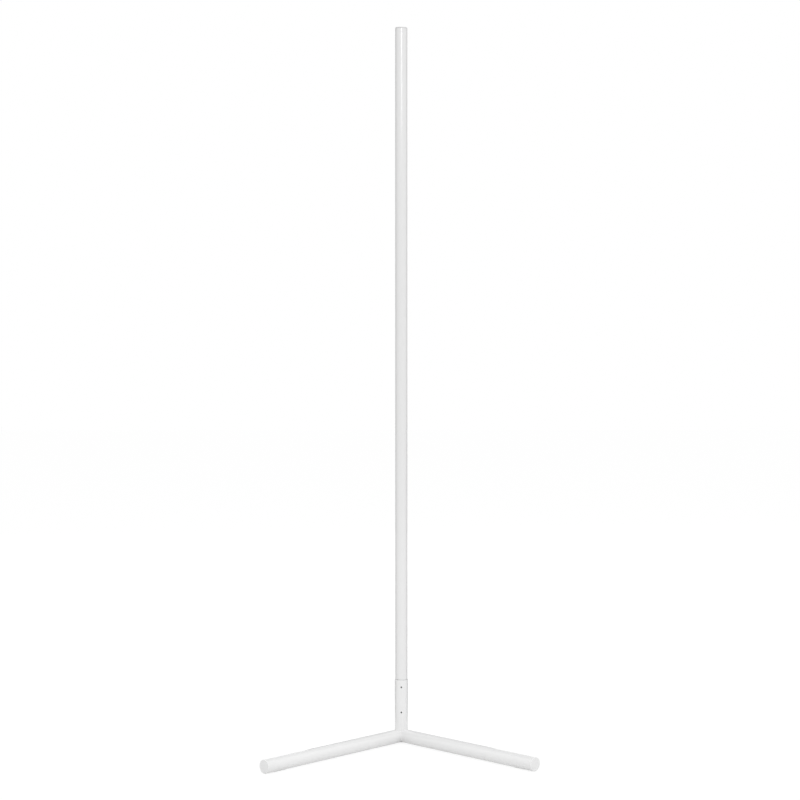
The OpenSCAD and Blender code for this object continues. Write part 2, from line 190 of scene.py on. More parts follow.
# %% Paint
# Polyester powder coat: a clean white with one soft, slightly wavering highlight.
PEEL = dict(patch=60 * MM, roughness=(0.09, 0.13), grain=1.1 * MM, height=0.003 * MM, IOR=1.5)
coat_on_steel = make_finish("white_powder_coat_on_steel", ("#F0F0F0", "#EEEEEE"), **PEEL)
coat_on_aluminium = make_finish("white_powder_coat_on_aluminium", ("#EDEDED", "#EBEBEB"), **PEEL)
print("made", coat_on_steel.name, "and", coat_on_aluminium.name)

# %% Plastics and rubber
# Moulded ABS: a fine etched grain that breaks highlights up. The leg caps are white.
# The cap on the tube is made a touch greyer as painted shade, so it draws a fine dark line along
# the lamp's top.
ETCHED = dict(patch=20 * MM, roughness=(0.45, 0.55), grain=0.35 * MM, height=0.006 * MM,
              IOR=1.54)
cap_plastic = make_finish("moulded_white_abs", ("#F3F3F3", "#F1F1F1"), **ETCHED)
top_cap_painted_shade = make_finish("white_abs_greyed_as_painted_shade", ("#DEDEDE", "#DADADA"), **ETCHED)
# Extruded opal polycarbonate: milky, smooth, and a little deeper than paint.
opal = make_finish("opal_polycarbonate", ("#F2F2EF", "#F0F0ED"), 80 * MM, (0.27, 0.34), 5 * MM,
                   IOR=1.58, Subsurface_Weight=0.4, Subsurface_Radius=(1, 1, 1),
                   Subsurface_Scale=1.5 * MM)
# Moulded rubber: dull, with a greyer and softer look than the parts round it.
rubber = make_finish("white_moulded_rubber", ("#DCDCDA", "#D6D6D4"), 6 * MM,
                     (0.65, 0.75), 0.4 * MM, 0.01 * MM, IOR=1.52)
# Slippery film: a waxy sheen with fine dents.
glide_film = make_finish("slippery_plastic_film", ("#E4E4E1", "#DEDEDA"), 5 * MM,
                         (0.3, 0.4), 0.6 * MM, 0.004 * MM, IOR=1.38)
# Moulded nylon in its natural colour: a warm off-white with a soft gloss.
nylon = make_finish("natural_white_nylon", ("#EAE9E3", "#E4E3DC"), 4 * MM,
                    (0.42, 0.55), 0.3 * MM, 0.005 * MM, IOR=1.53)

# %% [markdown]
# ## Metals and wiring
# The set screws are hardened steel with black oxide, which looks like soot under oil.
# The other screws are zinc plated. The spigot is die cast, so its skin has a fine
# grain. The strip's parts are tiny, so their finishes only need their colour, their
# gloss and a slight unevenness.

# %% Metals
# Black oxide: almost no colour and a dull gloss, so that a screw reads as a dark dot.
black_oxide = make_finish("black_oxide_steel", ("#0E0E0F", "#161618"), 0.5 * MM,
                          (0.45, 0.6), 0.3 * MM, Metallic=0.3)
# Bare steel in the tapped holes, darkened almost to the screws' black as painted shade.
hole_steel_with_painted_shade = make_finish("bare_steel_darkened_as_painted_shade", ("#38383A", "#303032"), 0.5 * MM,
                           (0.4, 0.55), 0.3 * MM, Metallic=1.0)
# Zinc plate: cool, bright, and faintly cloudy.
zinc = make_finish("zinc_plated_steel", ("#C4C7C9", "#B6BABD"), 0.8 * MM,
                   (0.24, 0.36), 0.4 * MM, Metallic=1.0)
# Die-cast aluminium: matt silver with a sandy grain.
cast_aluminium = make_finish("die_cast_aluminium", ("#B9BBBC", "#ADAFB1"), 3 * MM,
                             (0.45, 0.58), 0.5 * MM, 0.012 * MM, Metallic=1.0)
# Solder: a bright blob with a soft skin.
solder = make_finish("bright_solder", ("#C9CACC", "#BBBDC0"), 0.5 * MM,
                     (0.2, 0.32), 0.5 * MM, Metallic=1.0)
# Bare copper pads: warm and flat, a little dulled by air.
copper = make_finish("bare_copper", ("#CF9672", "#BF8461"), 1 * MM,
                     (0.3, 0.42), 0.3 * MM, Metallic=1.0)

# %% Wiring
# Soft PVC: a deep colour with a blurred gloss.
red_pvc = make_finish("red_wire_insulation", ("#B3211D", "#A81E1A"), 3 * MM,
                      (0.4, 0.5), 1 * MM, IOR=1.53)
black_pvc = make_finish("black_wire_insulation", ("#222224", "#2A2A2D"), 3 * MM,
                        (0.4, 0.5), 1 * MM, IOR=1.53)
# White solder mask: a thin lacquer that the copper under it makes slightly uneven.
solder_mask = make_finish("white_solder_mask", ("#EFEFEC", "#E9E9E6"), 2 * MM,
                          (0.35, 0.45), 1 * MM, 0.004 * MM, IOR=1.5)
# Reflective white resin round each emitter, and the yellow phosphor that fills it.
emitter_resin = make_finish("white_reflector_resin", ("#F3F2EE", "#EEEDE8"), 1.5 * MM,
                            (0.45, 0.55), 0.3 * MM, IOR=1.6)
phosphor = make_finish("yellow_phosphor", ("#F0D873", "#EDD066"), 0.6 * MM,
                       (0.3, 0.4), 0.4 * MM, IOR=1.5)
# Glass glaze on a resistor: black and shiny.
chip_glaze = make_finish("black_resistor_glaze", ("#1B1B1D", "#252528"), 0.4 * MM,
                         (0.25, 0.35), 0.3 * MM, IOR=1.5)
print("made", len(bpy.data.materials), "finishes")

# %% [markdown]
# ## Helpers for meshes
# Each new piece starts as a bmesh, is shaped with operators in its final place, and
# becomes an object at the world's origin. Holes are cut with Boolean modifiers, which
# are applied at once. Faces that meet at a shallow angle are shaded as one round
# surface, and sharper edges stay crisp. A Weighted Normal modifier lets the large
# faces rule: without it a tiny round on the end of a long tube would bend the
# tube's shading, and its reflections, along its whole length.

# %% Objects and modifiers
def link(name, data):
    made = bpy.data.objects.new(name, data)
    bpy.context.scene.collection.objects.link(made)
    return made


def as_object(bm, name, *materials):
    mesh = bpy.data.meshes.new(name)
    for material in materials:
        mesh.materials.append(material)
    bm.to_mesh(mesh)
    bm.free()
    return link(name, mesh)


def shaped_mesh(piece):
    """The mesh of a piece as its modifiers, or the section of its curve, leave it."""
    bpy.context.view_layer.update()
    shaped = piece.evaluated_get(bpy.context.evaluated_depsgraph_get())
    return bpy.data.meshes.new_from_object(shaped)


def apply_modifiers(piece):
    mesh = shaped_mesh(piece)
    piece.modifiers.clear()
    piece.data = mesh
    return piece


# %% Finished and carved pieces
SHARP = math.radians(32)


def add_piece(piece, body, slot, *nodes):
    """Shades a piece, hangs it on its body and hides the solids that it replaces. slot is not
    used.
    """
    piece.data.shade_smooth()
    piece.data.set_sharp_from_angle(angle=SHARP)
    shading = piece.modifiers.new("shading", "WEIGHTED_NORMAL")
    shading.keep_sharp = True
    apply_modifiers(piece)
    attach(piece, body)
    if nodes:
        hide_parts(*nodes)
    print("%s: %d faces" % (piece.name, len(piece.data.polygons)))


def carve(piece, *cutters):
    """Cuts the cutters out of a piece. A cutter with a finish leaves it on the cut."""
    for cutter in cutters:
        cut = piece.modifiers.new("cut", "BOOLEAN")
        cut.operation, cut.solver, cut.object = "DIFFERENCE", "EXACT", cutter
        cut.material_mode = "TRANSFER"
    apply_modifiers(piece)
    for cutter in cutters:
        bpy.data.objects.remove(cutter)
    return piece


# %% Soft edges and turned shapes
ROUND_STEPS = 128
MERGE = 0.001 * MM


def soften(bm, edges, width, segments=2):
    """Rounds edges, as paint or a mould does."""
    bmesh.ops.bevel(bm, geom=edges, offset=width, offset_type="OFFSET", segments=segments,
                    profile=0.5, affect="EDGES", clamp_overlap=True, material=-1)


def sharp_edges(bm, angle=math.radians(50)):
    return [e for e in bm.edges if e.is_manifold and e.calc_face_angle() > angle]


def turned(profile, steps=ROUND_STEPS):
    """A bmesh of a closed outline of (radius, height) points, spun about the Z axis."""
    bm = bmesh.new()
    corners = [bm.verts.new((radius, 0, height)) for radius, height in profile]
    edges = [bm.edges.new(pair) for pair in zip(corners, corners[1:])]
    bmesh.ops.spin(bm, geom=corners + edges, cent=(0, 0, 0), axis=(0, 0, 1),
                   angle=math.tau, steps=steps, use_merge=True)
    bmesh.ops.remove_doubles(bm, verts=bm.verts, dist=MERGE)
    bmesh.ops.recalc_face_normals(bm, faces=bm.faces)
    return bm


def arc(centre, radius, start, end, steps):
    """Points on an arc, with angles in degrees."""
    angles = [math.radians(start + (end - start) * i / steps) for i in range(steps + 1)]
    return [(centre[0] + radius * math.cos(a), centre[1] + radius * math.sin(a)) for a in angles]


# %% Places
FRONT, REAR = 1, -1


def placed(bm, matrix):
    bmesh.ops.transform(bm, matrix=matrix, verts=bm.verts)
    return bm


def facing(side, height):
    """Turns +Z to look to the front (-Y) or the rear (+Y) of the lamp, at a height."""
    return Matrix.Translation((0, 0, height)) @ Matrix.Rotation(side * math.radians(90), 4, "X")


def along_leg(side):
    """Turns +Z to run along a leg, from where the legs cross: 1 is right and -1 left."""
    return (Matrix.Translation((0, 0, leg_axis_z))
            @ Matrix.Rotation(side * LEG_HALF_ANGLE, 4, "Z")
            @ Matrix.Rotation(math.radians(90), 4, "X"))


# %% [markdown]
# ## Legs
# Each leg is a 28 mm steel tube. It could be a plain cylinder, but the real one is
# open inside and cut at 45 degrees where it meets its twin. So a ring is turned to a
# tube with a wall, laid along the leg and cut by the mitre plane. The free end has a
# small round on its rim, which draws the fine line next to the cap.

# %% Legs
RIM_ROUND = 0.25 * MM


def leg_tube(side, name, node):
    inner = leg_r - leg_wall
    far = leg_length - cap_flange
    start = -2 * leg_r
    rim = arc((leg_r - RIM_ROUND, far - RIM_ROUND), RIM_ROUND, 0, 90, 3)
    bm = turned([(inner, start), (leg_r, start), *rim, (inner, far), (inner, start)])
    placed(bm, along_leg(side))
    bmesh.ops.bisect_plane(bm, geom=bm.verts[:] + bm.edges[:] + bm.faces[:],
                           plane_co=(0, 0, 0), plane_no=(side, 0, 0), clear_inner=True)
    bmesh.ops.bridge_loops(bm, edges=[e for e in bm.edges if e.is_boundary])
    bmesh.ops.recalc_face_normals(bm, faces=bm.faces)
    add_piece(as_object(bm, name, coat_on_steel), "base", "coated_steel", node)


leg_tube(-1, "left_leg_tube", "left_leg")
leg_tube(1, "right_leg_tube", "right_leg")

# %% [markdown]
# ## Leg caps
# A moulded plug closes each leg. Its flange is as wide as the tube, with a soft outer
# edge and a finer one next to the tube. Both are arcs in one turned outline.

# %% Leg caps
CAP_EDGE = 0.8 * MM
CAP_SEAM = 0.3 * MM


def leg_cap(side, name, node):
    plug_wall, gap, dish = 2 * MM, 0.1 * MM, 0.4 * MM
    plug_r = leg_r - leg_wall - gap
    base = leg_length - cap_flange
    outline = [(0, base + dish), (plug_r - plug_wall, base + dish),
               (plug_r - plug_wall, base - cap_plug_depth), (plug_r, base - cap_plug_depth),
               (plug_r, base)]
    outline += arc((leg_r - CAP_SEAM, base + CAP_SEAM), CAP_SEAM, -90, 0, 4)
    outline += arc((leg_r - CAP_EDGE, leg_length - CAP_EDGE), CAP_EDGE, 0, 90, 8)
    outline += [(0, leg_length)]
    cap = as_object(placed(turned(outline), along_leg(side)), name, cap_plastic)
    add_piece(cap, "base", "moulded_cap", node)


leg_cap(-1, "left_leg_cap_moulding", "left_leg_cap")
leg_cap(1, "right_leg_cap_moulding", "right_leg_cap")

# %% [markdown]
# ## Socket
# The socket is a thick tube whose foot is coped, that is cut to sit on the round
# backs of the two legs. A turned tube has its lowest ring lifted on to the legs: at
# each point the height of a leg's surface follows from its round. The holes for the
# set screws and the grommet are cut with Boolean modifiers. The cutter for a screw is
# turned as well, with a wider mouth, because a tapped hole is countersunk first. It
# leaves bare steel behind, because the holes are tapped after painting, and that steel
# is darkened as painted shade for the hollow round each screw.

# %% Helpers for the socket
BAR_STEPS = 48


def centre_of(node):
    low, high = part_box(node)
    return (low + high) / 2


def leg_surface(x, y):
    """Height of the legs' upper surface above a point near the heel."""
    across = abs(x) * math.cos(LEG_HALF_ANGLE) + y * math.sin(LEG_HALF_ANGLE)
    return leg_axis_z + math.sqrt(max(leg_r ** 2 - across ** 2, 0))


def bar(radius, mouth=0):
    """A round cutter along Z. With a mouth it widens where it leaves the socket's wall."""
    wide = radius + 2 * mouth
    return turned([(0, 0), (radius, 0), (radius, socket_r - mouth), (wide, socket_r + mouth),
                   (wide, 2 * socket_r), (0, 2 * socket_r)], BAR_STEPS)


# %% Socket sleeve
PAINT_ROUND = 0.2 * MM
CHAMFER_TURN = math.radians(40)     # just less than the 45 degrees at a chamfer's edge
shoulder = socket_top - socket_chamfer
foot = leg_axis_z
bm = turned([(socket_bore_r, foot), (socket_r, foot), (socket_r, shoulder),
             (socket_r - socket_chamfer, socket_top), (socket_bore_r, socket_top),
             (socket_bore_r, foot)])
top_rims = [e for e in sharp_edges(bm, CHAMFER_TURN)
            if min(v.co.z for v in e.verts) > foot + MM]
soften(bm, top_rims, PAINT_ROUND)
for vert in bm.verts:
    if vert.co.z < foot + MM:
        vert.co.z = leg_surface(vert.co.x, vert.co.y)
socket = as_object(bm, "socket_sleeve", coat_on_steel)
print("socket from %.1f to %.1f mm" % (foot / MM, socket_top / MM))

# %% Holes in the socket
SCREW_HOLE_R = 1.55 * MM
COUNTERSINK = 0.35 * MM
GROMMET_HOLE_R = 4 * MM
cord_exit_z = centre_of("cord_grommet").z
# The cut walls of the screw holes wear the darkened steel, a painted shade.
cutters = [as_object(placed(bar(SCREW_HOLE_R, COUNTERSINK / 2),
                            facing(FRONT, centre_of(node).z)), "screw_cutter", hole_steel_with_painted_shade)
           for node in ("upper_set_screw", "lower_set_screw")]
cutters.append(as_object(placed(bar(GROMMET_HOLE_R), facing(REAR, cord_exit_z)),
                         "grommet_cutter"))
add_piece(carve(socket, *cutters), "base", "coated_steel", "socket")

# %% [markdown]
# ## Welds
# The socket and the two legs are welded, then painted. A weld is a rounded bead along
# the seam, with a fine ripple from each melted drop. A curve with a round section is
# the simplest bead: its points follow the seam, and each point has its own radius.
# At the back of the heel, where the mitre turns outwards, the real bead is ground
# almost flush, so there it lies deeper and is thinner.

# %% A weld bead
RIPPLE = 0.07
RIPPLE_PITCH = 1.3 * MM
POINTS_PER_RIPPLE = 6


def weld_bead(name, run, closed):
    """A bead along a run of (place, radius) pairs."""
    curve = bpy.data.curves.new(name, "CURVE")
    curve.dimensions = "3D"
    curve.bevel_depth, curve.bevel_resolution = 1, 3    # each point's radius scales the 1 m
    curve.use_fill_caps = not closed
    spline = curve.splines.new("POLY")
    spline.points.add(len(run) - 1)
    spline.use_cyclic_u = closed
    for point, (place, radius) in zip(spline.points, run):
        point.co = (*place, 1)
        point.radius = radius
    path = link(name + "_path", curve)
    bm = bmesh.new()
    bm.from_mesh(shaped_mesh(path))
    bpy.data.objects.remove(path)
    bmesh.ops.remove_doubles(bm, verts=bm.verts, dist=MERGE)
    bmesh.ops.recalc_face_normals(bm, faces=bm.faces)
    add_piece(as_object(bm, name, coat_on_steel), "base", "coated_steel")


def rippled(radius, step):
    return radius * (1 + RIPPLE * math.sin(math.tau * step / POINTS_PER_RIPPLE))


# %% Weld round the socket's foot
FOOT_BEAD = 0.9 * MM
steps = round(math.tau * socket_r / RIPPLE_PITCH) * POINTS_PER_RIPPLE
run = []
for i in range(steps):
    x, y = (socket_r * f(math.tau * i / steps) for f in (math.cos, math.sin))
    run.append((Vector((x, y, leg_surface(x, y))), rippled(FOOT_BEAD, i)))
weld_bead("socket_weld", run, closed=True)

# %% Welds along the mitre
FRONT_BEAD, REAR_BEAD = 0.88 * MM, 0.68 * MM
FRONT_SINK, REAR_SINK = 0.3 * MM, 0.75 * MM     # how deep the bead's middle lies
BEAD_END = 0.3                                  # the bead starts and ends this thin


def mitre_run(start, end):
    """Points on the mitre's ellipse: 0 degrees is its front, -90 its bottom."""
    steps = round(math.radians(abs(end - start)) * leg_r / RIPPLE_PITCH) * POINTS_PER_RIPPLE
    run = []
    for i in range(steps + 1):
        angle = math.radians(start + (end - start) * i / steps)
        frontness = (1 + math.cos(angle)) / 2
        sink = REAR_SINK + (FRONT_SINK - REAR_SINK) * frontness
        radius = REAR_BEAD + (FRONT_BEAD - REAR_BEAD) * frontness
        radius *= min(1, BEAD_END + min(i, steps - i) / (2 * POINTS_PER_RIPPLE))
        across = leg_r / math.sin(LEG_HALF_ANGLE) - sink
        place = Vector((0, -across * math.cos(angle),
                        leg_axis_z + (leg_r - sink) * math.sin(angle)))
        run.append((place, rippled(radius, i)))
    return run


weld_bead("front_mitre_weld", mitre_run(45, -75), closed=False)
weld_bead("rear_mitre_weld", mitre_run(-105, -225), closed=False)

# %% [markdown]
# ## Set screws
# Two M3 grub screws hold the light tube. They are threaded all along and have a
# hexagon socket. A helix isn't needed at this size: rings at the thread's pitch look
# the same. The outline zigzags from root to crest, and a six-sided bar cuts the key's
# hole.

# %% Set screws
THREAD_PITCH = 0.5 * MM
THREAD_ROOT = 1.22 * MM
SCREW_R = 1.5 * MM
KEY_SIZE = 1.5 * MM
KEY_DEPTH = 1.6 * MM


def set_screw(name, body, node):
    low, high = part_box(node)
    tip, end = -high.y, -low.y
    crest = SCREW_R - THREAD_ROOT
    outline = [(0, tip), (THREAD_ROOT, tip)]
    height = tip + crest
    while height < end - crest:
        outline += [(SCREW_R, height), (THREAD_ROOT, height + THREAD_PITCH / 2)]
        height += THREAD_PITCH
    outline += [(THREAD_ROOT, end), (0, end)]
    place = facing(FRONT, centre_of(node).z)
    key = bmesh.new()
    bmesh.ops.create_cone(key, cap_ends=True, segments=6, radius1=KEY_SIZE / math.sqrt(3),
                          radius2=KEY_SIZE / math.sqrt(3), depth=2 * KEY_DEPTH,
                          matrix=Matrix.Translation((0, 0, end)))
    screw = as_object(placed(turned(outline, BAR_STEPS), place), name, black_oxide)
    carve(screw, as_object(placed(key, place), "key"))
    add_piece(screw, body, "black_steel", node)


set_screw("upper_grub_screw", "upper_screw", "upper_set_screw")
set_screw("lower_grub_screw", "lower_screw", "lower_set_screw")

# %% [markdown]
# ## Cord grommet
# A rubber ring lines the hole at the socket's rear, where the supply cord comes out.
# It has a lip on both sides of the wall. A turned ring gives the round parts. Its lips
# reach a little into the wall, and a ring of that wall is cut out of them, so that
# they hug the curved metal.

# %% Cord grommet
LIP_R = 5.6 * MM
LIP_ROUND = 0.6 * MM
CORD_HOLE_R = 2.6 * MM
HOLE_SLACK = 0.02 * MM
INNER_REACH, OUTER_REACH = 0.6 * MM, 2 * MM
RING_STEPS = 64
inner_end, outer_end = (corner.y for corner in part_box("cord_grommet"))
neck_start, neck_end = socket_bore_r + INNER_REACH, socket_r - OUTER_REACH
outline = [(CORD_HOLE_R, inner_end), (LIP_R, inner_end), (LIP_R, neck_start),
           (GROMMET_HOLE_R, neck_start), (GROMMET_HOLE_R, neck_end), (LIP_R, neck_end)]
outline += arc((LIP_R - LIP_ROUND, outer_end - LIP_ROUND), LIP_ROUND, 0, 90, 6)
outline += arc((CORD_HOLE_R + LIP_ROUND, outer_end - LIP_ROUND), LIP_ROUND, 90, 180, 6)
outline += [(CORD_HOLE_R, inner_end)]
wall_low, wall_high = cord_exit_z - 2 * LIP_R, cord_exit_z + 2 * LIP_R
wall = turned([(socket_bore_r, wall_low), (socket_r, wall_low), (socket_r, wall_high),
               (socket_bore_r, wall_high), (socket_bore_r, wall_low)])
at_exit = facing(REAR, cord_exit_z)
wall = carve(as_object(wall, "wall"),
             as_object(placed(bar(GROMMET_HOLE_R + HOLE_SLACK), at_exit), "wall_hole"))
ring = as_object(placed(turned(outline, RING_STEPS), at_exit), "cord_grommet_ring", rubber)
add_piece(carve(ring, wall), "base", "grommet_rubber", "cord_grommet")

# %% [markdown]
# ## Light tube
# The tube is an extruded profile: a round wall, open at the back, with a flat web
# across it for the light strip. A short radial line spun in stages gives the wall,
# with points just where the web joins. One more face closes the web, and the whole
# flat section is then extruded to the tube's height, as the press does it. A sawn end
# never sits quite tight, so both ends stop a fifth of a millimetre short, and the
# seams at the socket and at the cap show as fine dark lines. The holes in the web are
# cut at the end: two for screws, and a window for the leads.

# %% Parts of a profile
def inner_angle(y):
    """Angle at which the tube's inner round reaches a distance y behind the axis."""
    return math.degrees(math.asin(y / (tube_r - tube_wall)))


def spun_band(bm, edge, degrees, steps):
    """Spins a flat radial edge about the tube's axis and gives the edge it ends on."""
    made = bmesh.ops.spin(bm, geom=[edge, *edge.verts], cent=(0, 0, 0), axis=(0, 0, 1),
                          angle=math.radians(degrees), steps=steps, use_merge=False)
    return next(e for e in made["geom_last"] if isinstance(e, bmesh.types.BMEdge))


def radial_edge(bm, inner, outer, degrees):
    ends = [bm.verts.new((radius, 0, 0)) for radius in (inner, outer)]
    bmesh.ops.rotate(bm, verts=ends, cent=(0, 0, 0),
                     matrix=Matrix.Rotation(math.radians(degrees), 3, "Z"))
    return bm.edges.new(ends)


def inner_run(bm, radius, side, low, high):
    """The vertices of an inner round on one side between two places in Y, rear first."""
    slack = 0.01 * MM
    return sorted((v for v in bm.verts if abs(v.co.xy.length - radius) < slack
                   and side * v.co.x > 0 and low - slack < v.co.y < high + slack),
                  key=lambda v: -v.co.y)


# %% From section to profile
PROFILE_ROUND = 0.15 * MM


def extrude_up(bm, low, high):
    """Raises the flat section that lies in the bmesh from one height to another."""
    bmesh.ops.remove_doubles(bm, verts=bm.verts, dist=MERGE / 2)
    bmesh.ops.translate(bm, vec=(0, 0, low), verts=bm.verts)
    made = bmesh.ops.extrude_face_region(bm, geom=bm.faces[:])
    raised = [v for v in made["geom"] if isinstance(v, bmesh.types.BMVert)]
    bmesh.ops.translate(bm, vec=(0, 0, high - low), verts=raised)
    bmesh.ops.recalc_face_normals(bm, faces=bm.faces)
    soften(bm, sharp_edges(bm), PROFILE_ROUND)


# %% Light tube profile
END_GAP = 0.2 * MM
FRONT_STEPS, LIP_STEPS, WEB_STEPS = 84, 10, 3
tube_inner = tube_r - tube_wall
lip_angle = math.degrees(math.acos(slot_half / tube_r))
low_web, high_web = inner_angle(web_front), inner_angle(web_rear)
bm = bmesh.new()
edge = radial_edge(bm, tube_inner, tube_r, lip_angle)
for degrees, steps in ((high_web - lip_angle, LIP_STEPS), (low_web - high_web, WEB_STEPS),
                       (-180 - 2 * low_web, FRONT_STEPS), (low_web - high_web, WEB_STEPS),
                       (high_web - lip_angle, LIP_STEPS)):
    edge = spun_band(bm, edge, degrees, steps)
bmesh.ops.remove_doubles(bm, verts=bm.verts, dist=MERGE / 2)
right = inner_run(bm, tube_inner, 1, web_front, web_rear)
left = inner_run(bm, tube_inner, -1, web_front, web_rear)
bm.faces.new([*right, *reversed(left)])
for side in (1, -1):
    lip = inner_run(bm, tube_inner, side, web_rear, tube_r)[0]
    lip.co.xy = (side * slot_half, math.sqrt(tube_inner ** 2 - slot_half ** 2))
extrude_up(bm, tube_low + END_GAP, tube_high - END_GAP)
tube = as_object(bm, "light_tube_profile", coat_on_aluminium)
print("light tube %.1f mm long" % ((tube_high - tube_low - 2 * END_GAP) / MM))

# %% Holes in the web
WINDOW = Vector((9, 6, 4.2)) * MM
WINDOW_FRONT = 0.5 * MM
WINDOW_CORNER = 1 * MM
WINDOW_DROP = 1.5 * MM
WEB_SCREW_HEAD_R = 2.4 * MM
window = bmesh.new()
window_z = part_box("light_strip")[0].z - WINDOW_DROP - WINDOW.z / 2
window_place = Matrix.Translation((0, WINDOW.y / 2 + WINDOW_FRONT, window_z))
bmesh.ops.create_cube(window, size=1, matrix=window_place @ Matrix.Diagonal((*WINDOW, 1)))
soften(window, [e for e in window.edges if abs(e.verts[0].co.y - e.verts[1].co.y) > MM],
       WINDOW_CORNER, segments=5)
screw_z = centre_of("spigot_screws").z
screw_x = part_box("spigot_screws")[1].x - WEB_SCREW_HEAD_R
web_holes = [as_object(placed(bar(SCREW_HOLE_R), Matrix.Translation((side * screw_x, 0, 0))
                              @ facing(REAR, screw_z)), "web_hole") for side in (-1, 1)]
carve(tube, as_object(window, "window"), *web_holes)
add_piece(tube, "light", "coated_aluminium", "light_tube")

# %% [markdown]
# ## Light cover
# The cover is extruded too: a curved wall that carries on the tube's round over the
# slot, and two feet with hooks that snap behind the slot's edges.

# %% Light cover
COVER_WALL, FOOT_WALL = 1.4 * MM, 1.2 * MM
HOOK_REACH, HOOK_HEIGHT = 0.5 * MM, 0.6 * MM
SLIP = 0.1 * MM
COVER_STEPS, FOOT_STEPS = 44, 3
cover_half = slot_half - SLIP
cover_inner = tube_r - COVER_WALL
hook_x = cover_half + HOOK_REACH
hook_top = math.sqrt(tube_inner ** 2 - hook_x ** 2) - SLIP
foot_x = cover_half - FOOT_WALL
end_angle = math.degrees(math.acos(cover_half / tube_r))
foot_angle = math.degrees(math.acos(foot_x / cover_inner))
bm = bmesh.new()
edge = radial_edge(bm, cover_inner, tube_r, end_angle)
for degrees, steps in ((foot_angle - end_angle, FOOT_STEPS),
                       (180 - 2 * foot_angle, COVER_STEPS),
                       (foot_angle - end_angle, FOOT_STEPS)):
    edge = spun_band(bm, edge, degrees, steps)
bmesh.ops.remove_doubles(bm, verts=bm.verts, dist=MERGE / 2)
for side in (1, -1):
    run = [v for v in inner_run(bm, cover_inner, side, 0, tube_r)
           if side * v.co.x > foot_x - SLIP / 2]
    run[-1].co.xy = (side * cover_half, math.sqrt(cover_inner ** 2 - cover_half ** 2))
    knees, toes = ([bm.verts.new((side * x, y, 0)) for x in (foot_x, cover_half, hook_x)]
                   for y in (hook_top, hook_top - HOOK_HEIGHT))
    bm.faces.new([*run, knees[1], knees[0]])
    bm.faces.new([knees[0], knees[1], toes[1], toes[0]])
    bm.faces.new([knees[1], knees[2], toes[2], toes[1]])
extrude_up(bm, tube_low + END_GAP, tube_high - END_GAP)
add_piece(as_object(bm, "opal_light_cover", opal), "light", "opal_cover", "diffuser")

# %% [markdown]
# ## Light strip
# Behind the cover runs a white circuit strip with sixty emitters in each metre. Every
# third emitter the strip can be cut, and there it has bare copper pads. One emitter,
# one resistor and one row of pads are modelled, and an Array modifier repeats each.

# %% Sizes on the strip
strip_low, strip_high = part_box("light_strip")
strip_face = strip_high.y
EMITTERS_PER_METRE = 60
EMITTERS_PER_CUT = 3
EMITTER_PITCH = 1 / EMITTERS_PER_METRE
CUT_PITCH = EMITTERS_PER_CUT * EMITTER_PITCH
CUTS = round((strip_high.z - strip_low.z) / CUT_PITCH)
EMITTERS = CUTS * EMITTERS_PER_CUT
print(EMITTERS, "emitters in", CUTS, "cuts")


# %% Blocks and rows
def block(bm, size, centre, material=0, edge=0):
    """Adds a box to the bmesh, with its edges rounded if edge is given."""
    made = bmesh.ops.create_cube(bm, size=1, matrix=Matrix.Translation(centre)
                                 @ Matrix.Diagonal((*size, 1)))
    faces = {f for v in made["verts"] for f in v.link_faces}
    for face in faces:
        face.material_index = material
    if edge:
        soften(bm, list({e for f in faces for e in f.edges}), edge, segments=1)


def in_a_row(piece, count, pitch):
    row = piece.modifiers.new("row", "ARRAY")
    row.count, row.use_relative_offset, row.use_constant_offset = count, False, True
    row.constant_offset_displace = (0, 0, pitch)
    return apply_modifiers(piece)


# %% Emitters
EMITTER = Vector((5, 1.6, 5)) * MM
EMITTER_EDGE = 0.15 * MM
LENS_R, LENS_DEPTH = 1.9 * MM, 0.2 * MM
LENS_STEPS = 16
FILL_AT_RIM, FILL_IN_MIDDLE = 0.5, 0.7      # parts of the well's depth that phosphor fills
first_emitter = Vector((0, strip_face, strip_low.z + EMITTER_PITCH / 2))
outward = Matrix.Translation(first_emitter) @ Matrix.Rotation(math.radians(-90), 4, "X")
bm = bmesh.new()
block(bm, EMITTER, first_emitter + Vector((0, EMITTER.y / 2, 0)), edge=EMITTER_EDGE)
well_floor = EMITTER.y - LENS_DEPTH
well = turned([(0, well_floor), (LENS_R - LENS_DEPTH, well_floor),
               (LENS_R + LENS_DEPTH, EMITTER.y + LENS_DEPTH), (0, EMITTER.y + LENS_DEPTH)],
              LENS_STEPS)
resin = as_object(bm, "emitter_frames", emitter_resin)
carve(resin, as_object(placed(well, outward), "well"))
add_piece(in_a_row(resin, EMITTERS, EMITTER_PITCH), "light", "led_package", "leds")
dome = turned([(0, well_floor), (LENS_R - LENS_DEPTH, well_floor),
               (LENS_R - LENS_DEPTH * (1 - FILL_AT_RIM), well_floor + FILL_AT_RIM * LENS_DEPTH),
               (0, well_floor + FILL_IN_MIDDLE * LENS_DEPTH)], LENS_STEPS)
lenses = as_object(placed(dome, outward), "emitter_lenses", phosphor)
add_piece(in_a_row(lenses, EMITTERS, EMITTER_PITCH), "light", "led_package")

# %% Resistors
# The glazed body is a little thinner than the tinned ends that clasp it.
CHIP = Vector((1.25, 0.5, 2)) * MM
CHIP_INSET = Vector((0.04, 0.02, 0.1)) * MM
CHIP_END, CHIP_EDGE = 0.35 * MM, 0.04 * MM
first_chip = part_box("strip_resistors")[0] + CHIP / 2
bm = bmesh.new()
block(bm, CHIP - CHIP_INSET, first_chip)
for side in (-1, 1):
    block(bm, Vector((CHIP.x, CHIP.y, CHIP_END)),
          first_chip + Vector((0, 0, side * (CHIP.z - CHIP_END) / 2)), material=1, edge=CHIP_EDGE)
chips = as_object(bm, "strip_chip_resistors", chip_glaze, solder)
add_piece(in_a_row(chips, CUTS, CUT_PITCH), "light", "resistor_chip", "strip_resistors")

